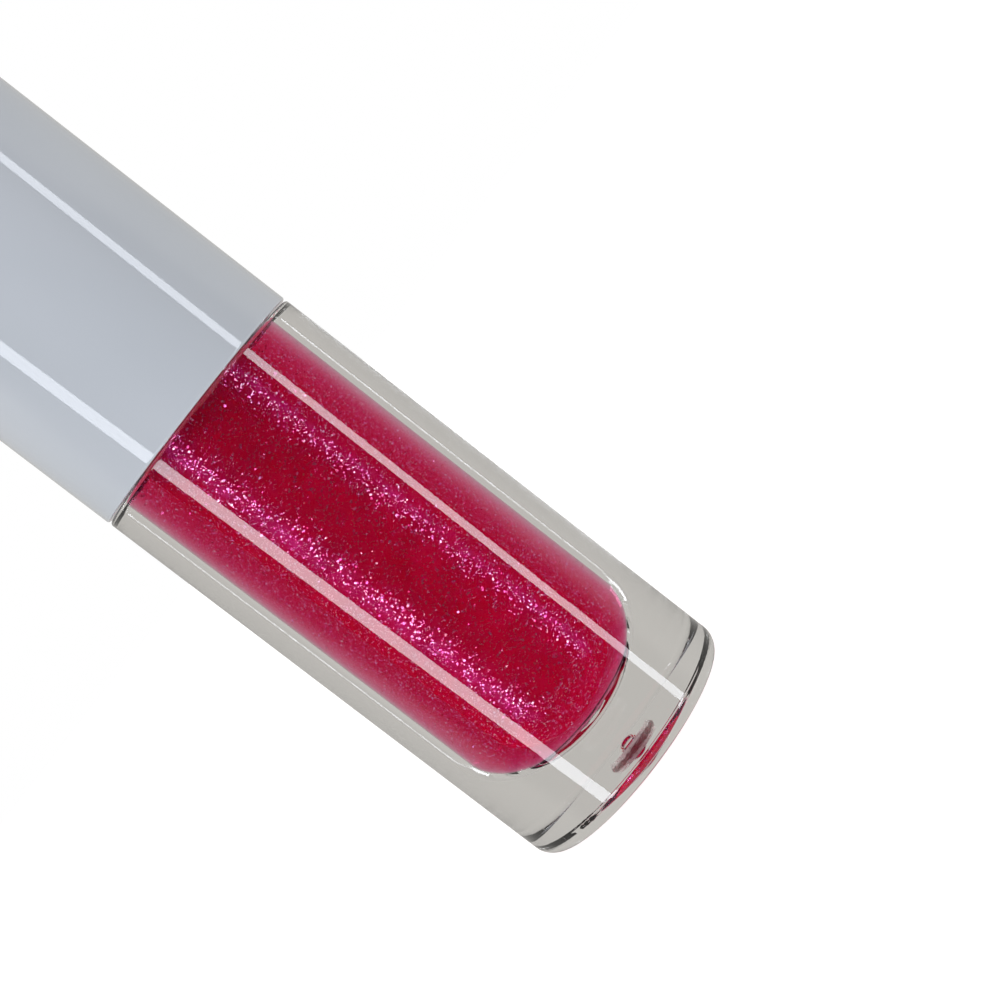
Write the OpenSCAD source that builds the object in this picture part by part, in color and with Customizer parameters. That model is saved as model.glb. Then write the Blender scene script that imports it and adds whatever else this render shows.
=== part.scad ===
// Round lip gloss tube with a screw cap that carries the wand.
// It stands upright: +Z runs along the tube, and the origin is the centre of the standing ring.

/* [Bottle] */
// Outer diameter of the bottle and of the cap
tube_d = 19; // [17:0.5:21]
// Height of the shoulder, where the cap's rim comes down to
shoulder_z = 37.5; // [34:0.5:45]
// Rounding of the bottom corner
foot_round = 1.35; // [0.8:0.05:1.6]
// Rounding of the shoulder's edge
shoulder_round = 0.25; // [0.1:0.05:0.4]
// Height of the cavity's lowest point above the standing ring
floor_z = 3.85; // [3:0.05:6]
// Diameter of the cavity where its round bottom starts
cavity_d = 10.54; // [9.8:0.02:10.6]
// Radius of the round bottom in its middle
bottom_r = 6.1; // [5.8:0.1:7]
// Radius of the round bottom's corner, where it turns up into the wall
corner_r = 4.3; // [3.5:0.1:4.6]
// Diameter of the cavity at the shoulder, a little wider so that the mould's core can be drawn
cavity_top_d = 10.72; // [10.6:0.02:10.8]

/* [Underside] */
// Diameter of the recessed panel in the underside
panel_d = 12.8; // [11:0.1:13.5]
// Depth of the recessed panel
panel_depth = 0.9; // [0.4:0.05:1.2]
// Diameter of the gate recess in the middle of the panel
gate_d = 2.8; // [2:0.1:4]
// Depth of the gate recess
gate_depth = 0.46; // [0.2:0.02:0.6]
// Diameter of the gate's own pip, a small dome in the recess's roof
pip_d = 1.2; // [0.8:0.1:1.6]
// Height of the pip's dome
pip_depth = 0.38; // [0.2:0.02:0.4]

/* [Neck and thread] */
// Outer diameter of the neck, below the thread
neck_d = 13; // [12.6:0.1:13.2]
// Length of the neck above the shoulder
neck_h = 12.5; // [11:0.5:14]
// Bore of the neck, where the wiper is pressed in
neck_bore_d = 10.9; // [10.8:0.1:11]
// Pitch of the thread
thread_pitch = 2; // [1.8:0.1:2.2]
// Turns of thread on the neck
neck_turns = 1.5; // [1.25:0.25:1.5]
// Turns of thread in the cap's insert
cap_turns = 1.25; // [1:0.25:1.25]
// Height of each thread
thread_depth = 0.6; // [0.5:0.05:0.65]

/* [Wand] */
// Diameter of the wand's rod
stem_d = 3.8; // [3.4:0.1:3.8]
// Diameter of the flocked tip
tip_d = 3.9; // [3.5:0.1:3.9]
// Length of the flocked tip
tip_length = 13; // [11:0.5:15]
// Height of the tip's lower end above the standing ring, with the cap on
tip_z = 8; // [6.5:0.5:10]
// Thickness of the flock
flock_t = 0.35; // [0.25:0.05:0.4]
// Slant of the tip's flat face from the wand's axis
tip_slant = 20; // [14:1:26]

/* [Wiper and gasket] */
// Opening of the wiper's lip, held at the size that lets the tip through
lip_d = 4.1; // [4.05:0.05:4.3]
// Thickness of the wiper's flange on top of the neck
flange_t = 0.8; // [0.6:0.1:1]
// Thickness of the gasket
gasket_t = 0.95; // [0.8:0.05:1]

/* [Cap] */
// Height of the cap's top face above the standing ring
cap_top_z = 83.5; // [76:0.5:90]
// Gap between the shoulder and the cap's rim
rim_gap = 0.1; // [0.1:0.05:0.3]
// Wall thickness of the cap's outer shell
shell_wall = 1.33; // [1.2:0.01:1.4]
// Rounding of the cap's top edge
crown_round = 1.3; // [0.8:0.05:1.5]

/* [Hidden] */
$fn = 96;
tube_r = tube_d / 2;
neck_top = shoulder_z + neck_h;
neck_r = neck_d / 2;
neck_bore_r = neck_bore_d / 2;
stem_r = stem_d / 2;
tip_r = tip_d / 2;
lip_r = lip_d / 2;
// A cut that goes past a face runs this far beyond it
past = 1;
// Thread: the ridges of neck and insert lie half a pitch apart, and clear each other all round.
// They start a little round from the X axis.
neck_thread_z = shoulder_z + 7.5;
ridge_base = 1.1;
ridge_crest = 0.5;
ridge_root = 0.3;
run_out_turns = 0.16;
first_turn = 0.03;
steps_per_turn = 40;
neck_crest_r = neck_r + thread_depth;
insert_bore_r = neck_crest_r + 0.15;
insert_start_turn = first_turn + neck_turns - cap_turns;
// Wiper
wiper_gap = 0.05;
wiper_wall = 0.95;
throat_r = neck_bore_r - wiper_gap - wiper_wall;
throat_end_z = neck_top - 4;
lip_z = neck_top - 8.4;
lip_wall = 0.4;
flange_r = neck_r - 0.2;
bead_r = 0.4;
// Gloss: a thin running clearance to the bottle's wall, because the wand turns it
gloss_gap = 0.02;
gloss_top_z = lip_z - 0.6;
wand_channel_r = tip_r + 0.1;
// Gasket: free on the rod, and held on it by the rod's collar
flange_top_z = neck_top + flange_t;
gasket_hole_r = stem_r + 0.2;
gasket_r = flange_r - 0.5;
collar_r = stem_r + 0.5;
collar_h = 0.8;
cap_rise = thread_pitch * cap_turns;
collar_top_z = flange_top_z - cap_rise - 0.1;
// Insert
roof_z = flange_top_z + gasket_t + 0.05;
roof_t = 1.6;
insert_z = shoulder_z + 0.5;
shell_bore_r = tube_r - shell_wall;
rib_gap = 0.02;
rib_h = 0.18;
rib_w = 0.8;
rib_count = 16;
insert_r = shell_bore_r - rib_gap - rib_h;
boss_r = 3.3;
boss_h = 7;
// Wand
stem_top_z = roof_z + roof_t + boss_h - 0.8;
tip_top_z = tip_z + tip_length;
core_r = tip_r - flock_t;
pin_r = 1;
pin_h = 5;
// Where the tip's flat face meets its lower end, off the axis
face_x = tip_r * 0.35;
stem_end_round = 0.3;
// Shell
rim_z = shoulder_z + rim_gap;
rim_round = 0.15;
shell_roof = 1.6;

// A rectangle from the axis out to radius r, between two heights, for turning
module band(r, low, high) {
    translate([0, low]) square([r, high - low]);
}

// The same with its two outer corners rounded; a rounding of 0 leaves a corner sharp
module round_band(r, low, high, low_round, high_round) {
    band(r - max(low_round, high_round), low, high);
    band(r, low + low_round, high - high_round);
    if (low_round < high_round) band(r - low_round, low, high - high_round);
    if (high_round < low_round) band(r - high_round, low + low_round, high);
    if (low_round > 0) translate([r - low_round, low + low_round]) circle(low_round);
    if (high_round > 0) translate([r - high_round, high - high_round]) circle(high_round);
}

// Keeps the half of an outline that can be turned
module turned() {
    rotate_extrude() intersection() {
        children();
        translate([0, -past]) square([tube_r + past, cap_top_z + 2 * past]);
    }
}

// Corners of one slice of a thread ridge. side is 1 for a ridge on a neck and -1 for one in a bore.
// share is how far the ridge stands out of its wall there, from 0 to 1.
function ridge_slice(wall_r, side, share, angle, z) =
    let (
        root_r = wall_r - side * ridge_root,
        crest_r = wall_r + side * (share * (thread_depth + ridge_root / 2) - ridge_root / 2),
        slope = (ridge_base - ridge_crest) / 2 / thread_depth,
        root_half = ridge_base / 2 + slope * ridge_root,
        crest_half = root_half - slope * abs(crest_r - root_r)
    )
    [for (p = [[root_r, -root_half], [crest_r, -crest_half], [crest_r, crest_half], [root_r, root_half]])
        [p[0] * cos(angle), p[0] * sin(angle), z + p[1]]];

// A right-hand thread ridge that fades into its wall at both ends
module ridge(wall_r, side, turns, start_turn, z) {
    last = round(turns * steps_per_turn);
    slices = [for (i = [0 : last])
        let (
            turn = i / steps_per_turn,
            share = min(1, turn / run_out_turns, (turns - turn) / run_out_turns),
            at = start_turn + turn
        )
        each ridge_slice(wall_r, side, share, 360 * at, z + thread_pitch * at)];
    low_end = side > 0 ? [3, 2, 1, 0] : [0, 1, 2, 3];
    high_end = [for (k = [0 : 3]) 4 * last + low_end[3 - k]];
    sides = [for (i = [0 : last - 1], k = [0 : 3])
        let (a = 4 * i + k, b = 4 * i + (k + 1) % 4)
        side > 0 ? [b, b + 4, a + 4, a] : [a, a + 4, b + 4, b]];
    polyhedron(points = slices, faces = concat([low_end], [high_end], sides), convexity = 6);
}

// The cavity, with a round bottom, a drafted wall and the neck's straight bore, drawn smaller by gap
module cavity_outline(gap, top_z) {
    wall_r = cavity_d / 2 - gap;
    middle_z = floor_z + bottom_r;
    corner_x = cavity_d / 2 - corner_r;
    corner_z = middle_z - sqrt((bottom_r - corner_r) ^ 2 - corner_x ^ 2);
    turn = asin(corner_x / (bottom_r - corner_r));
    reach = bottom_r + 1;
    intersection() {
        translate([0, middle_z]) circle(bottom_r - gap);
        polygon([
            [0, middle_z],
            [0, middle_z - reach],
            [reach * sin(turn), middle_z - reach * cos(turn)]
        ]);
    }
    translate([corner_x, corner_z]) circle(corner_r - gap);
    polygon([
        [0, corner_z],
        [wall_r, corner_z],
        [cavity_top_d / 2 - gap, shoulder_z],
        [neck_bore_r - gap, shoulder_z + 0.8],
        [neck_bore_r - gap, top_z],
        [0, top_z]
    ]);
}

// The recess in the underside, with the tapered gate recess and its pip in the middle
module underside_outline() {
    step_round = 0.3;
    gate_taper = 0.15;
    gate_r = gate_d / 2;
    gate_roof = panel_depth + gate_depth;
    pip_r = pip_d / 2;
    dome_r = (pip_r * pip_r + pip_depth * pip_depth) / (2 * pip_depth);
    round_band(panel_d / 2, -past, panel_depth, 0, step_round);
    polygon([
        [0, 0],
        [gate_r, 0],
        [gate_r, panel_depth],
        [gate_r - gate_taper, gate_roof],
        [0, gate_roof]
    ]);
    intersection() {
        translate([0, gate_roof + pip_depth - dome_r]) circle(dome_r);
        band(pip_r, 0, gate_roof + pip_depth);
    }
}

// Clear thick-walled bottle with its threaded neck, moulded in one piece
module bottle() {
    color("gainsboro", 0.4) {
        turned() difference() {
            union() {
                round_band(tube_r, 0, shoulder_z, foot_round, shoulder_round);
                round_band(neck_r, 0, neck_top, 0, 0.2);
            }
            cavity_outline(0, neck_top + past);
            underside_outline();
        }
        ridge(neck_r, 1, neck_turns, first_turn, neck_thread_z);
    }
}

// Soft plug in the neck, with a flange on top and the lip that scrapes the wand
module wiper() {
    plug_r = neck_bore_r - wiper_gap;
    color("white") turned() {
        difference() {
            union() {
                polygon([
                    [0, lip_z],
                    [lip_r + lip_wall, lip_z],
                    [plug_r, throat_end_z - 0.8],
                    [plug_r, neck_top],
                    [0, neck_top]
                ]);
                round_band(flange_r, neck_top, flange_top_z, 0, 0.2);
            }
            polygon([
                [0, lip_z - past],
                [lip_r, lip_z - past],
                [lip_r, lip_z + 0.3],
                [throat_r, throat_end_z],
                [throat_r, flange_top_z + past],
                [0, flange_top_z + past]
            ]);
        }
        for (z = [neck_top - 1.2, neck_top - 3])
            translate([neck_bore_r - bead_r, z]) circle(bead_r);
    }
}

// The fill, up to just below the wiper's lip, with the space that the wand takes
module gloss() {
    color("crimson") turned() difference() {
        cavity_outline(gloss_gap, gloss_top_z);
        band(wand_channel_r, tip_z - 0.1, gloss_top_z + past);
    }
}

// Soft ring that seals the insert's roof on the wiper's flange
module gasket() {
    color("ivory") turned() difference() {
        round_band(gasket_r, flange_top_z, flange_top_z + gasket_t, 0.15, 0.15);
        band(gasket_hole_r, flange_top_z - past, flange_top_z + gasket_t + past);
    }
}

// Outer shell of the cap
module cap_shell() {
    color("lightsteelblue") turned() difference() {
        round_band(tube_r, rim_z, cap_top_z, rim_round, crown_round);
        round_band(shell_bore_r, rim_z - past, cap_top_z - shell_roof, 0, 0.8);
    }
}

// Inner part of the cap, with the thread, the roof over the neck and the boss that grips the rod
module cap_insert() {
    boss_top = roof_z + roof_t + boss_h;
    color("whitesmoke") {
        turned() difference() {
            union() {
                round_band(insert_r, insert_z, roof_z + roof_t, 0.2, 0.6);
                round_band(boss_r, roof_z, boss_top, 0, 0.4);
            }
            band(insert_bore_r, insert_z - past, roof_z);
            band(stem_r, insert_z, stem_top_z);
        }
        for (i = [0 : rib_count - 1])
            rotate([0, 0, 360 * i / rib_count])
                translate([insert_r - rib_h, -rib_w / 2, insert_z + 1])
                    cube([2 * rib_h, rib_w, roof_z - insert_z - 2]);
        ridge(insert_bore_r, -1, cap_turns, insert_start_turn, neck_thread_z - thread_pitch / 2);
    }
}

// Rod of the wand, with the collar that keeps the gasket on it and a socket for the tip
module wand_stem() {
    color("white") turned() difference() {
        union() {
            round_band(stem_r, tip_top_z, stem_top_z, stem_end_round, 0.4);
            round_band(collar_r, collar_top_z - collar_h, collar_top_z, 0.3, 0.1);
        }
        band(pin_r, tip_top_z - past, tip_top_z + pin_h);
    }
}

// A tip of radius r with a rounded end and a slanted flat face; inset moves both inwards
module tip_shape(r, inset) {
    end_z = tip_z + inset;
    difference() {
        union() {
            translate([0, 0, end_z + r]) sphere(r);
            translate([0, 0, end_z + r]) cylinder(r = r, h = tip_top_z - end_z - r);
        }
        translate([face_x, 0, tip_z])
            rotate([0, -tip_slant, 0])
                translate([inset - 2 * tip_d, -tip_d, -tip_length])
                    cube([2 * tip_d, 2 * tip_d, 3 * tip_length]);
    }
}

// Soft core of the tip, with the pin that plugs into the rod
module applicator_core() {
    color("mistyrose") {
        tip_shape(core_r, flock_t);
        translate([0, 0, tip_top_z - past]) cylinder(r = pin_r, h = pin_h + past);
    }
}

// Coat of short fibres over the core
module applicator_flock() {
    color("palevioletred") difference() {
        tip_shape(tip_r, 0);
        tip_shape(core_r, flock_t);
        translate([0, 0, tip_top_z - past]) cylinder(r = core_r, h = 2 * past);
    }
}

bottle();
wiper();
gloss();
gasket();
cap_shell();
cap_insert();
wand_stem();
applicator_core();
applicator_flock();
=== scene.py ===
"""Looks for the lip gloss tube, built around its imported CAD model.

Sizes are in millimetres and are turned into metres where a mesh, light or camera is made.
Colours are linear RGB.
+Z runs along the upright tube. The camera stands on the -Y side, with +X to its upper right.
"""

import math
import random

import bpy
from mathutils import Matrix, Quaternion, Vector


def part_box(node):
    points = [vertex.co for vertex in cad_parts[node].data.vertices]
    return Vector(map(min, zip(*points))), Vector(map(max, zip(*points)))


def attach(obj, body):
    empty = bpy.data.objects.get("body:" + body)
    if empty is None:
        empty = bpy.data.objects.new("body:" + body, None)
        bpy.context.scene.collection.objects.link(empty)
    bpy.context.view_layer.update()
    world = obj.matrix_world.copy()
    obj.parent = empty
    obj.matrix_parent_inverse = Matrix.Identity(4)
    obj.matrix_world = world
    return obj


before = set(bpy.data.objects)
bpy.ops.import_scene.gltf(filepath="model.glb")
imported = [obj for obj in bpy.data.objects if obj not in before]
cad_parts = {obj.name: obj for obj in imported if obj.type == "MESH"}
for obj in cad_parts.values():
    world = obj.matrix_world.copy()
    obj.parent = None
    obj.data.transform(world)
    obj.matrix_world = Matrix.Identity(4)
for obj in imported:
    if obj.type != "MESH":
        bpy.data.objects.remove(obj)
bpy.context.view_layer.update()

MM = 0.001


def box_mm(node):
    """Lowest and highest corner of a CAD node, in millimetres."""
    low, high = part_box(node)
    return low / MM, high / MM


# Sizes read from the frame
SHELL_LOW, _ = box_mm("cap_shell")
GLOSS_LOW, GLOSS_HIGH = box_mm("gloss")
FLOCK_LOW, FLOCK_HIGH = box_mm("applicator_flock")
SHOULDER_Z = SHELL_LOW.z

# The gloss's round bottom, with its corner of a smaller radius, and the wall's top, where it is a little wider
BOTTOM_R = 6.08
CORNER_R = 4.28
CORNER_X = 0.97
BOTTOM_TURN = math.asin(CORNER_X / (BOTTOM_R - CORNER_R))
MIDDLE_Z = GLOSS_LOW.z + BOTTOM_R
CORNER_Z = MIDDLE_Z - (BOTTOM_R - CORNER_R) * math.cos(BOTTOM_TURN)
WALL_TOP_Z = 37.5
WALL_TOP_R = 5.34

# The wall of the gate recess in the underside lies between these radii and heights
GATE_INNER_R = 0.65
GATE_OUTER_R = 1.45
GATE_LOW_Z = 0.92
GATE_HIGH_Z = 1.34
# Its colour, painted red light and shade that stand in for the gloss's light scattered in the frosted wall,
# turns from dark to pale between these heights, or up to GATE_TEARS lower
GATE_PAINTED_DARK_Z = 1.3
GATE_PAINTED_PALE_Z = 1.45
GATE_TEARS = 0.5

# The bottle's wall against the gloss is looked for this far outside the gloss
WALL_REACH = 0.3

# The opaque heart of the gloss: how deep it lies under the wall, over the floor and under the top
HEART_DEPTH = 1.6
HEART_FLOOR = 0.8
HEART_TOP_GAP = 0.8
# The space in the heart that the wand takes
CHANNEL_R = 2.1
CHANNEL_Z = FLOCK_LOW.z - 0.15
# Rings this near its edges keep them crisp
HEART_EDGE = 0.1

# The haze: how deep it lies under the gloss's surface, and the same rings
HAZE_DEPTH = 0.12
HAZE_EDGE = 0.05

# Glitter: numbers of flakes, and the smallest and largest half width of each kind
FINE_FLAKES = 30000
FINE_REACH = (0.04, 0.065)
COARSE_FLAKES = 2500
COARSE_REACH = (0.07, 0.1)
# Flakes start under a thin skin and reach this much deeper, the coarse ones a little more
FLAKE_SKIN = 0.03
FLAKE_DEPTH = 0.9
COARSE_SINK = 0.05
# The lowest flake's height over the gloss's lowest point, before it sinks
FLAKE_FLOOR_GAP = 0.05
# How far flakes lean from the wall, drawn evenly from these
LEANS = (0.04, 0.04, 0.04, 0.04, 0.06, 0.06, 0.15, 0.5)

# Flocked tip: the outward normal of its slanted flat face, and how closely a face has to follow it
FLAT_SLANT = math.radians(20)
FLAT_NORMAL = Vector((-math.cos(FLAT_SLANT), 0, -math.sin(FLAT_SLANT)))
ALONG_FLAT = 0.95
# Its fibres, which all start a little under the surface and lean upwards
FIBRES = 9000
FIBRE_LENGTHS = (0.05, 0.09)
FIBRE_R = 0.015
FIBRE_ROOT = 0.02
FIBRE_SPREAD = 0.35
FIBRE_RISE = Vector((0, 0, 0.4))

# The rod's film of gloss ends between these distances under the gloss's top, and its streaks climb above that
WET_BELOW = 5
DRY_BELOW = 3
STREAK_CLIMB = 9

# Refraction
BOTTLE_IOR = 1.57
GLOSS_IOR = 1.46

# Camera
CAMERA_PLACE = Vector((0, -143.2, 32.45))
CAMERA_AIM = Vector((7.76, 0, 17.79))
CAMERA_ROLL = math.radians(-52.08)
LENS = 76.19

# Light
BACKDROP = (0.545, 0.53, 0.505, 1)
DARK_ROOM = (0.035, 0.028, 0.035, 1)
LAMP_COLOUR = (0.94, 0.98, 1.06)


# ---------------------------------------------------------------- node helpers


class Material:
    """A node material with one Principled shader, and short calls for the nodes that feed it."""

    def __init__(self, name, **sockets):
        self.material = bpy.data.materials.new(name)
        self.material.use_nodes = True
        self.nodes = self.material.node_tree.nodes
        self.links = self.material.node_tree.links
        self.output = self.nodes["Material Output"]
        self.shader = self.nodes["Principled BSDF"]
        for socket, value in sockets.items():
            self.shader.inputs[socket.replace("_", " ")].default_value = value

    def node(self, kind, **settings):
        """A new shader node of this kind."""
        made = self.nodes.new("ShaderNode" + kind)
        for name, value in settings.items():
            setattr(made, name, value)
        return made

    def feed(self, node, **inputs):
        """Sets or links a node's inputs by name."""
        for name, value in inputs.items():
            socket = node.inputs[name.replace("_", " ")]
            if isinstance(value, bpy.types.NodeSocket):
                self.links.new(value, socket)
            else:
                socket.default_value = value
        return node

    def place(self, stretch=(1, 1, 1)):
        """Object coordinates in millimetres, stretched along the axes."""
        source = self.node("TexCoord").outputs["Object"]
        scaled = self.node("VectorMath", operation="MULTIPLY")
        self.links.new(source, scaled.inputs[0])
        scaled.inputs[1].default_value = [s / MM for s in stretch]
        return scaled.outputs[0]

    def noise(self, scale, detail=2.0, stretch=(1, 1, 1)):
        """Noise from 0 to 1, with scale bumps a millimetre."""
        made = self.feed(self.node("TexNoise"), Vector=self.place(stretch), Scale=scale, Detail=detail)
        return made.outputs["Fac"]

    def between(self, factor, low, high, start=0.0, end=1.0):
        """A value that goes from low to high as factor goes from start to end."""
        made = self.node("MapRange")
        self.feed(made, Value=factor, From_Min=start, From_Max=end, To_Min=low, To_Max=high)
        return made.outputs["Result"]

    def ramp(self, factor, *stops):
        """A colour ramp with a stop for each (position, colour)."""
        made = self.node("ValToRGB")
        elements = made.color_ramp.elements
        while len(elements) < len(stops):
            elements.new(0.5)
        for element, (position, colour) in zip(elements, stops):
            element.position = position
            element.color = (*colour, 1)
        self.links.new(factor, made.inputs["Fac"])
        return made.outputs["Color"]

    def ragged_height(self, noise, reach):
        """Height above the base in millimetres, with reach times the noise added."""
        parts = self.node("SeparateXYZ")
        self.links.new(self.place(), parts.inputs[0])
        level = self.node("Math", operation="MULTIPLY_ADD")
        self.links.new(noise, level.inputs[0])
        level.inputs[1].default_value = reach
        self.links.new(parts.outputs["Z"], level.inputs[2])
        return level.outputs[0]

    def bump(self, height, strength, distance):
        """Bumps from a height, distance millimetres high."""
        made = self.node("Bump")
        self.feed(made, Height=height, Strength=strength, Distance=distance * MM)
        self.links.new(made.outputs["Normal"], self.shader.inputs["Normal"])

    def partly_clear(self, share):
        """Mixes the shader with a clear one, share being the clear one's part."""
        mix = self.feed(self.node("MixShader"), Fac=share)
        self.links.new(self.shader.outputs[0], mix.inputs[1])
        self.links.new(self.node("BsdfTransparent").outputs[0], mix.inputs[2])
        self.links.new(mix.outputs[0], self.output.inputs["Surface"])

    def lets_lamps_through(self, colour):
        """Shadow rays go straight through in this colour."""
        clear = self.feed(self.node("BsdfTransparent"), Color=(*colour, 1))
        mix = self.node("MixShader")
        self.links.new(self.node("LightPath").outputs["Is Shadow Ray"], mix.inputs[0])
        self.links.new(self.shader.outputs[0], mix.inputs[1])
        self.links.new(clear.outputs[0], mix.inputs[2])
        self.links.new(mix.outputs[0], self.output.inputs["Surface"])


# ---------------------------------------------------------------- materials


def clear_plastic(name, ior):
    """Polished clear plastic, very slightly wavy along the tube as a moulding is."""
    made = Material(
        name, Base_Color=(0.985, 0.98, 0.968, 1), Transmission_Weight=1, IOR=ior, Roughness=0
    )
    made.bump(made.noise(0.25, 0, (1, 1, 0.3)), 0.02, 0.05)
    made.lets_lamps_through((0.93, 0.93, 0.92))
    return made.material


def gate_painted_red_light():
    """The torn wall of the gate, its colour painted as the gloss's red light and shade: dark red near its
    mouth, paler and clearer further in.
    """
    made = Material("gate_painted_red_light", IOR=BOTTLE_IOR)
    tears = made.noise(4, 4, (1, 1, 3))
    inner = made.between(made.ragged_height(tears, GATE_TEARS), 0, 1, GATE_PAINTED_DARK_Z, GATE_PAINTED_PALE_Z)
    # Painted red light and shade: the dark red at the mouth and the pink further in stand in for the gloss's
    # light scattered in the torn wall
    made.feed(made.shader, Base_Color=made.ramp(inner, (0.0, (0.13, 0.012, 0.02)), (1.0, (0.7, 0.5, 0.53))))
    made.feed(made.shader, Transmission_Weight=made.between(inner, 0.25, 0.85))
    made.feed(made.shader, Roughness=made.between(tears, 0.15, 0.5))
    made.bump(tears, 0.6, 0.1)
    return made.material


def gloss_liquid():
    """The clear body of the gloss, which only absorbs: the bottle's wetted wall does the bending of light."""
    made = Material("gloss_liquid", Base_Color=(1, 1, 1, 1), Transmission_Weight=1, IOR=1.0, Roughness=0)
    made.lets_lamps_through((1, 1, 1))
    fill = made.feed(made.node("VolumeAbsorption"), Color=(0.94, 0, 0.44, 1), Density=650)
    made.links.new(fill.outputs[0], made.output.inputs["Volume"])
    return made.material


def gloss_heart():
    """The depth of the gloss, where its pearl makes it opaque: deep red, with light spreading in it."""
    made = Material(
        "gloss_heart", Roughness=0.5, Specular_IOR_Level=0, Subsurface_Weight=1, Subsurface_Scale=0.001
    )
    made.shader.inputs["Subsurface Radius"].default_value = (2.5, 0.15, 0.4)
    drift = made.noise(0.5, 3)
    colour = made.ramp(drift, (0.3, (0.52, 0.004, 0.088)), (0.7, (0.64, 0.007, 0.132)))
    made.feed(made.shader, Base_Color=colour)
    return made.material


def glitter():
    """Pearl flakes: half a mirror, half clear, each with its own tint."""
    made = Material("glitter", Metallic=1, Roughness=0.2)
    each = made.node("NewGeometry").outputs["Random Per Island"]
    rose, violet = (0.97, 0.2, 0.55), (0.92, 0.28, 0.85)
    pale, lilac = (1.0, 0.75, 0.93), (0.87, 0.4, 1.0)
    colour = made.ramp(each, (0.0, rose), (0.35, violet), (0.7, pale), (1.0, lilac))
    made.feed(made.shader, Base_Color=colour)
    made.partly_clear(0.5)
    return made.material


def pearl_haze():
    """The finest pearl of the gloss, too small to see one by one: mostly clear, with a soft violet mirror."""
    made = Material("pearl_haze", Metallic=1, Roughness=0.24)
    colour = made.ramp(made.noise(3, 4), (0.35, (0.75, 0.05, 0.6)), (0.65, (0.95, 0.15, 0.8)))
    made.feed(made.shader, Base_Color=colour)
    made.partly_clear(made.between(made.noise(1.2, 5), 0.99, 0.965, 0.35, 0.65))
    return made.material


def cap_plastic():
    """Polished pale cool grey, with faint clouds and waves from moulding."""
    made = Material("cap_plastic", IOR=1.5)
    cloud = made.noise(0.12, 2, (1, 1, 0.5))
    colour = made.ramp(cloud, (0.3, (0.65, 0.69, 0.73)), (0.7, (0.69, 0.725, 0.765)))
    made.feed(made.shader, Base_Color=colour)
    made.feed(made.shader, Roughness=made.between(made.noise(1.5, 4), 0.02, 0.05))
    made.bump(made.noise(0.25, 0, (1, 1, 0.3)), 0.02, 0.05)
    return made.material


def wet_rod():
    """White rod, with a streaky film of gloss on the length that stands in it."""
    made = Material("rod_plastic", IOR=1.5)
    streaks = made.noise(1.2, 4, (1, 1, 0.15))
    level = made.ragged_height(streaks, -STREAK_CLIMB)
    dry = made.between(level, 0, 1, GLOSS_HIGH.z - WET_BELOW, GLOSS_HIGH.z - DRY_BELOW)
    film = made.ramp(streaks, (0.35, (0.72, 0.1, 0.22)), (0.65, (0.55, 0.01, 0.08)))
    colour = made.node("Mix", data_type="RGBA")
    made.links.new(dry, colour.inputs["Factor"])
    made.links.new(film, colour.inputs[6])
    bare = made.ramp(made.noise(0.6, 3), (0.3, (0.8, 0.8, 0.79)), (0.7, (0.85, 0.85, 0.84)))
    made.links.new(bare, colour.inputs[7])
    made.feed(made.shader, Base_Color=colour.outputs[2], Roughness=made.between(dry, 0.06, 0.28))
    made.bump(made.noise(1.5, 3, (1, 1, 0.4)), 0.25, 0.06)
    return made.material


def wet_flock():
    """Fibres soaked in gloss: dark red, shining where the gloss stands on them."""
    made = Material("flock", IOR=1.45)
    clumps = made.noise(2.5, 4)
    colour = made.ramp(clumps, (0.35, (0.3, 0.002, 0.02)), (0.65, (0.62, 0.015, 0.09)))
    made.feed(made.shader, Base_Color=colour)
    made.feed(made.shader, Roughness=made.between(clumps, 0.15, 0.45, 0.35, 0.65))
    made.bump(made.noise(9, 3), 0.5, 0.05)
    return made.material


def plain_plastic(name, colour, roughness):
    """Satin moulded plastic, rubber or foam of one colour, a little uneven."""
    made = Material(name, Roughness=roughness, IOR=1.5)
    shade = made.ramp(made.noise(0.6, 3), (0.3, [c * 0.94 for c in colour]), (0.7, colour))
    made.feed(made.shader, Base_Color=shade)
    made.bump(made.noise(3, 3), 0.1, 0.03)
    return made.material


# ---------------------------------------------------------------- mesh helpers


def piece(name, vertices, faces, material, body, smooth=True):
    """A mesh object in metres from points in millimetres, riding on a CAD body."""
    mesh = bpy.data.meshes.new(name)
    mesh.from_pydata([[c * MM for c in v] for v in vertices], [], faces)
    mesh.polygons.foreach_set("use_smooth", [smooth] * len(mesh.polygons))
    mesh.materials.append(material)
    made = bpy.data.objects.new(name, mesh)
    bpy.context.scene.collection.objects.link(made)
    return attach(made, body)


def lathe(outline, steps):
    """Points and faces of an outline of (radius, height), from the axis back to the axis, turned about Z."""
    low, *ring, high = outline
    vertices = [(0, 0, low[1])]
    for r, z in ring:
        for i in range(steps):
            turn = 2 * math.pi * i / steps
            vertices.append((r * math.cos(turn), r * math.sin(turn), z))
    vertices.append((0, 0, high[1]))
    last = len(vertices) - 1
    faces = []
    for i in range(steps):
        j = (i + 1) % steps
        faces.append((0, 1 + j, 1 + i))
        for k in range(len(ring) - 1):
            a, b = 1 + k * steps, 1 + (k + 1) * steps
            faces.append((a + i, a + j, b + j, b + i))
        faces.append((last - steps + i, last - steps + j, last))
    return vertices, faces


# ---------------------------------------------------------------- gloss


def wall_at(z):
    """Radius of the gloss at height z, and its outward normal's (radial, upward) parts."""
    if z > CORNER_Z:
        low_r = CORNER_X + CORNER_R
        return low_r + (z - CORNER_Z) / (WALL_TOP_Z - CORNER_Z) * (WALL_TOP_R - low_r), (1, 0)
    x, centre_z, r = CORNER_X, CORNER_Z, CORNER_R
    if z < MIDDLE_Z - BOTTOM_R * math.cos(BOTTOM_TURN):
        x, centre_z, r = 0, MIDDLE_Z, BOTTOM_R
    rise = (z - centre_z) / r
    across = math.sqrt(max(0.0, 1 - rise * rise))
    return x + r * across, (across, rise)


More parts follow.
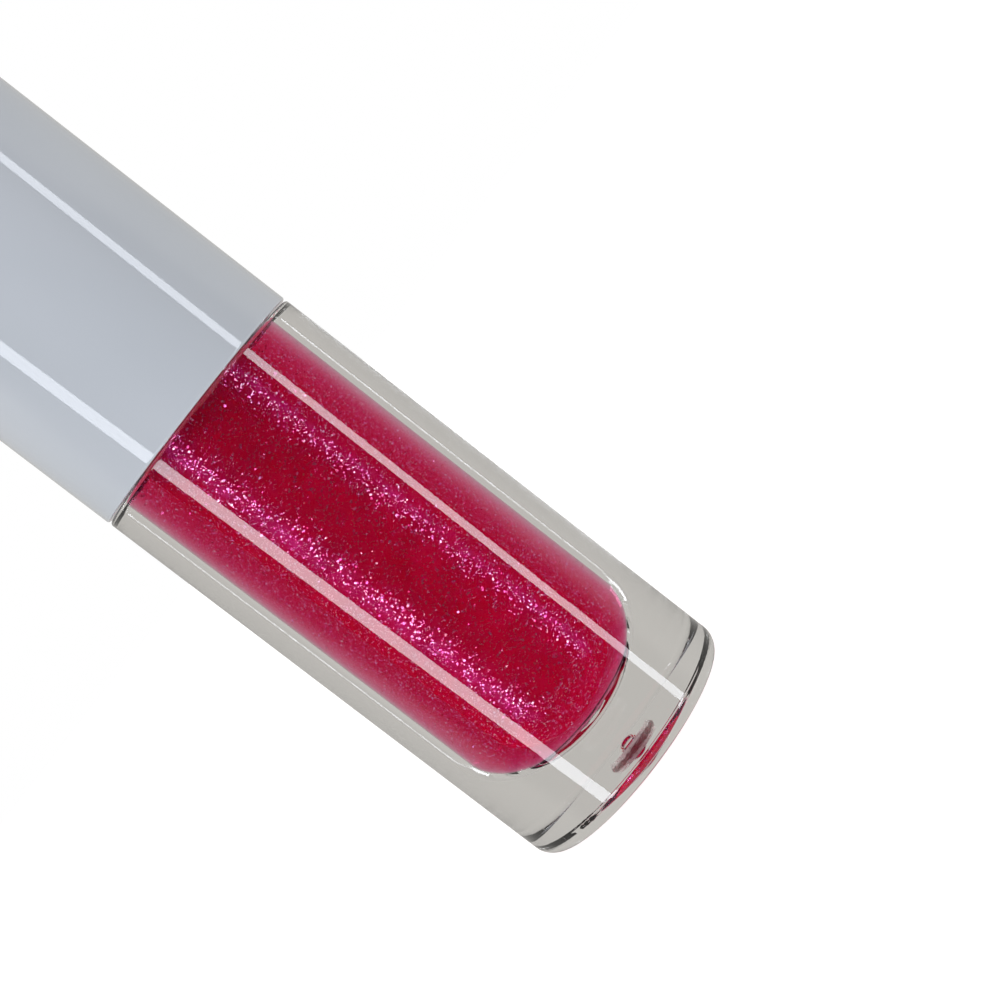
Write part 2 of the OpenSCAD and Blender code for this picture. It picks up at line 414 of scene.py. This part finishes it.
def round_bottom(inset, floor):
    """Outline, from the axis to the wall, of a round bottom inside the gloss's own.

    It lies inset from the gloss's wall, and floor above its lowest point.
    """
    stretch = (CORNER_Z - GLOSS_LOW.z - floor) / (CORNER_Z - GLOSS_LOW.z - inset)
    outline = []
    for i in range(12):
        turn = BOTTOM_TURN * i / 12
        outline.append(((BOTTOM_R - inset) * math.sin(turn), MIDDLE_Z - (BOTTOM_R - inset) * math.cos(turn)))
    for i in range(25):
        turn = BOTTOM_TURN + (math.pi / 2 - BOTTOM_TURN) * i / 24
        x = CORNER_X + (CORNER_R - inset) * math.sin(turn)
        outline.append((x, CORNER_Z - (CORNER_R - inset) * math.cos(turn)))
    return [(x, CORNER_Z - (CORNER_Z - z) * stretch) for x, z in outline]


def make_heart(material):
    """The opaque middle of the gloss, a little inside its surface, with the space that the wand takes."""
    top = GLOSS_HIGH.z - HEART_TOP_GAP
    top_r = WALL_TOP_R - HEART_DEPTH
    rim = [(top_r, top - HEART_EDGE), (top_r - HEART_EDGE, top), (CHANNEL_R + HEART_EDGE, top)]
    channel = [
        (CHANNEL_R, top - HEART_EDGE),
        (CHANNEL_R, CHANNEL_Z + HEART_EDGE),
        (CHANNEL_R - HEART_EDGE, CHANNEL_Z),
        (0, CHANNEL_Z),
    ]
    vertices, faces = lathe(round_bottom(HEART_DEPTH, HEART_FLOOR) + rim + channel, 96)
    made = piece("gloss_heart", vertices, faces, material, "gloss")
    return made


def make_haze(material):
    """A closed skin just inside the gloss's surface, that carries the haze."""
    top_r = WALL_TOP_R - HAZE_DEPTH
    rim = [
        (top_r, WALL_TOP_Z - HAZE_EDGE),
        (top_r, WALL_TOP_Z),
        (top_r - HAZE_EDGE, WALL_TOP_Z),
        (0, WALL_TOP_Z),
    ]
    vertices, faces = lathe(round_bottom(HAZE_DEPTH, HAZE_DEPTH) + rim, 128)
    made = piece("gloss_haze", vertices, faces, material, "gloss")
    return made


def flake(rng, centre, normal, size, corners):
    """Corner points of one flat flake with an uneven outline, about size from its centre."""
    side = normal.orthogonal().normalized()
    other = normal.cross(side)
    spin = rng.uniform(0, 2 * math.pi)
    points = []
    for k in range(corners):
        angle = spin + 2 * math.pi * k / corners
        reach = size * rng.uniform(0.75, 1.1)
        points.append(centre + (side * math.cos(angle) + other * math.sin(angle)) * reach)
    return points


def make_flakes(material):
    """Glitter in the outer layer of the gloss: small flat flakes, most of them nearly parallel to the wall."""
    rng = random.Random(11)
    vertices, faces = [], []
    for number in range(FINE_FLAKES + COARSE_FLAKES):
        coarse = number >= FINE_FLAKES
        z = rng.uniform(GLOSS_LOW.z + FLAKE_FLOOR_GAP, SHOULDER_Z)
        turn = rng.uniform(0, 2 * math.pi)
        depth = FLAKE_SKIN + FLAKE_DEPTH * rng.random() ** 2
        r, (across, rise) = wall_at(z)
        outward = Vector((across * math.cos(turn), across * math.sin(turn), rise))
        centre = Vector((r * math.cos(turn), r * math.sin(turn), z)) - outward * (depth + COARSE_SINK * coarse)
        lean = rng.choice(LEANS)
        normal = (outward + Vector([rng.gauss(0, lean) for _ in range(3)])).normalized()
        size = rng.uniform(*(COARSE_REACH if coarse else FINE_REACH))
        points = flake(rng, centre, normal, size, rng.choice((5, 6)) if coarse else 4)
        faces.append(list(range(len(vertices), len(vertices) + len(points))))
        vertices += points
    made = piece("gloss_flakes", vertices, faces, material, "gloss", smooth=False)
    return made


# ---------------------------------------------------------------- flocked tip


def is_outer(point, normal):
    """Whether a point of the flock's mesh is on its outside, and not against the core or the rod."""
    middle = Vector((0, 0, max(point.z, FLOCK_LOW.z + FLOCK_HIGH.x)))
    along = normal.dot(FLAT_NORMAL)
    if along > ALONG_FLAT:
        return True
    return along > -ALONG_FLAT and normal.dot((point - middle).normalized()) > 0.3


def make_fibres(material):
    """Short wet fibres that stand out of the flock's outer faces, all a little bent upwards."""
    rng = random.Random(5)
    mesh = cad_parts["applicator_flock"].data
    mesh.calc_loop_triangles()
    triangles = [t for t in mesh.loop_triangles if is_outer(t.center / MM, t.normal)]
    areas = [t.area for t in triangles]
    vertices, faces = [], []
    for triangle in rng.choices(triangles, weights=areas, k=FIBRES):
        a, b, c = (mesh.vertices[i].co / MM for i in triangle.vertices)
        u, v = sorted((rng.random(), rng.random()))
        root = a * u + b * (v - u) + c * (1 - v)
        normal = Vector(triangle.normal)
        lean = Vector([rng.gauss(0, FIBRE_SPREAD) for _ in range(3)]) + FIBRE_RISE
        tip = root + (normal + lean - normal * lean.dot(normal)).normalized() * rng.uniform(*FIBRE_LENGTHS)
        side = normal.orthogonal().normalized() * FIBRE_R
        other = normal.cross(side)
        start = len(vertices)
        for k in range(3):
            turn = 2 * math.pi * k / 3
            vertices.append(root - normal * FIBRE_ROOT + side * math.cos(turn) + other * math.sin(turn))
        vertices.append(tip)
        faces += [(start + i, start + (i + 1) % 3, start + 3) for i in range(3)]
    made = piece("flock_fibres", vertices, faces, material, "cap")
    return made


# ---------------------------------------------------------------- CAD nodes


def dress(node, *materials):
    """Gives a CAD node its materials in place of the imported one."""
    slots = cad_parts[node].data.materials
    slots.clear()
    for material in materials:
        slots.append(material)


def dress_bottle(outer, wetted, gate):
    """The wall that the gloss wets bends light less than one with air behind it, and the gate's is torn, with
    painted red light and shade in its colour.
    """
    dress("bottle", outer, wetted, gate)
    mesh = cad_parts["bottle"].data
    for face in mesh.polygons:
        x, y, z = face.center / MM
        r = math.hypot(x, y)
        if r < WALL_TOP_R + WALL_REACH and GLOSS_LOW.z - WALL_REACH < z < GLOSS_HIGH.z:
            face.material_index = 1
        elif GATE_INNER_R < r < GATE_OUTER_R and GATE_LOW_Z < z < GATE_HIGH_Z:
            face.material_index = 2


# ---------------------------------------------------------------- camera, light, floor


def make_camera():
    """The camera at the photograph's viewing angle, from the side with the tube across the picture."""
    data = bpy.data.cameras.new("camera")
    data.lens = LENS
    data.sensor_width = 36
    data.clip_start = 0.005
    camera = bpy.data.objects.new("camera", data)
    camera.location = CAMERA_PLACE * MM
    camera.rotation_mode = "QUATERNION"
    towards = (CAMERA_AIM - CAMERA_PLACE).to_track_quat("-Z", "Y")
    camera.rotation_quaternion = towards @ Quaternion((0, 0, 1), CAMERA_ROLL)
    bpy.context.scene.collection.objects.link(camera)
    bpy.context.scene.camera = camera


def make_lamp(name, azimuth, distance, middle_z, width, height, lean, radiance):
    """A rectangular soft box facing the tube, azimuth degrees round from the camera's side towards +X."""
    data = bpy.data.lights.new(name, "AREA")
    data.shape = "RECTANGLE"
    data.size = width * MM
    data.size_y = height * MM
    data.energy = radiance * math.pi * data.size * data.size_y
    data.color = LAMP_COLOUR
    lamp = bpy.data.objects.new(name, data)
    turn = math.radians(azimuth)
    out = Vector((math.sin(turn), -math.cos(turn), 0))
    lamp.location = (out * distance + Vector((0, 0, middle_z))) * MM
    lamp.rotation_mode = "QUATERNION"
    lamp.rotation_quaternion = (-out).to_track_quat("-Z", "Y") @ Quaternion((0, 0, 1), math.radians(lean))
    lamp.visible_camera = False
    bpy.context.scene.collection.objects.link(lamp)
    return lamp


def make_lamps():
    """Two leaning strips that make the two long highlights, and two wide fills that show in no reflection."""
    strips = dict(distance=400, middle_z=-20, height=400)
    make_lamp("upper_strip", azimuth=60.4, width=49, lean=-15, radiance=6.8, **strips)
    make_lamp("lower_strip", azimuth=-50, width=69, lean=20, radiance=7.2, **strips)
    fills = dict(distance=700, height=800, lean=0)
    front = make_lamp("front_fill", azimuth=-5, middle_z=-250, width=800, radiance=0.92, **fills)
    back = make_lamp("back_fill", azimuth=180, middle_z=0, width=600, radiance=0.5, **fills)
    for fill in (front, back):
        fill.visible_glossy = False
        fill.visible_transmission = False


def make_room():
    """White to the camera. For everything else, a grey backdrop behind the tube and a dark room before it."""
    world = bpy.data.worlds.new("room")
    bpy.context.scene.world = world
    world.use_nodes = True
    nodes, links = world.node_tree.nodes, world.node_tree.links
    split = nodes.new("ShaderNodeSeparateXYZ")
    links.new(nodes.new("ShaderNodeTexCoord").outputs["Generated"], split.inputs[0])
    steep = nodes.new("ShaderNodeMath")
    steep.operation = "ABSOLUTE"
    links.new(split.outputs["Z"], steep.inputs[0])
    away = nodes.new("ShaderNodeMath")
    away.operation = "MULTIPLY_ADD"
    links.new(steep.outputs[0], away.inputs[0])
    away.inputs[1].default_value = 1.6
    links.new(split.outputs["Y"], away.inputs[2])
    ramp = nodes.new("ShaderNodeValToRGB")
    ramp.color_ramp.elements[0].color = DARK_ROOM
    ramp.color_ramp.elements[1].color = BACKDROP
    ramp.color_ramp.elements[1].position = 0.25
    links.new(away.outputs[0], ramp.inputs["Fac"])
    room = nodes["Background"]
    links.new(ramp.outputs["Color"], room.inputs["Color"])
    white = nodes.new("ShaderNodeBackground")
    white.inputs["Color"].default_value = (1, 1, 1, 1)
    mix = nodes.new("ShaderNodeMixShader")
    links.new(nodes.new("ShaderNodeLightPath").outputs["Is Camera Ray"], mix.inputs[0])
    links.new(room.outputs[0], mix.inputs[1])
    links.new(white.outputs[0], mix.inputs[2])
    links.new(mix.outputs[0], nodes["World Output"].inputs["Surface"])


def make_floor():
    """A pale floor that only the camera sees, white with a faint shadow."""
    half = 3000 * MM
    drop = 0.05 * MM
    corners = [(x * half, y * half, -drop) for x, y in ((-1, -1), (1, -1), (1, 1), (-1, 1))]
    mesh = bpy.data.meshes.new("floor")
    mesh.from_pydata(corners, [], [(0, 1, 2, 3)])
    floor = bpy.data.objects.new("floor", mesh)
    for kind in ("diffuse", "glossy", "transmission", "volume_scatter", "shadow"):
        setattr(floor, "visible_" + kind, False)
    bpy.context.scene.collection.objects.link(floor)
    made = Material("floor", Base_Color=(0.8, 0.8, 0.8, 1), Roughness=0.9)
    glow = made.feed(made.node("Emission"), Color=(1, 1, 1, 1), Strength=0.8)
    both = made.node("AddShader")
    made.links.new(glow.outputs[0], both.inputs[0])
    made.links.new(made.shader.outputs[0], both.inputs[1])
    made.links.new(both.outputs[0], made.output.inputs["Surface"])
    mesh.materials.append(made.material)


# ---------------------------------------------------------------- the scene

bpy.context.scene.view_settings.view_transform = "Standard"
# Light that would cross the gloss twice is dropped: the real gloss is too cloudy to pass it
bpy.context.scene.cycles.transmission_bounces = 5

make_camera()
make_lamps()
make_room()
make_floor()

clear = clear_plastic("clear_plastic", BOTTLE_IOR)
wetted = clear_plastic("clear_plastic_wetted", BOTTLE_IOR / GLOSS_IOR)
dress_bottle(clear, wetted, gate_painted_red_light())
dress("gloss", gloss_liquid())
dress("wiper", plain_plastic("wiper_plastic", (0.75, 0.75, 0.73), 0.35))
dress("gasket", plain_plastic("gasket_foam", (0.8, 0.78, 0.72), 0.8))
dress("cap_shell", cap_plastic())
dress("cap_insert", plain_plastic("insert_plastic", (0.82, 0.82, 0.82), 0.35))
dress("wand_stem", wet_rod())
dress("applicator_core", plain_plastic("tip_rubber", (0.7, 0.2, 0.25), 0.5))
flock = wet_flock()
dress("applicator_flock", flock)
make_fibres(flock)
make_heart(gloss_heart())
make_flakes(glitter())
make_haze(pearl_haze())
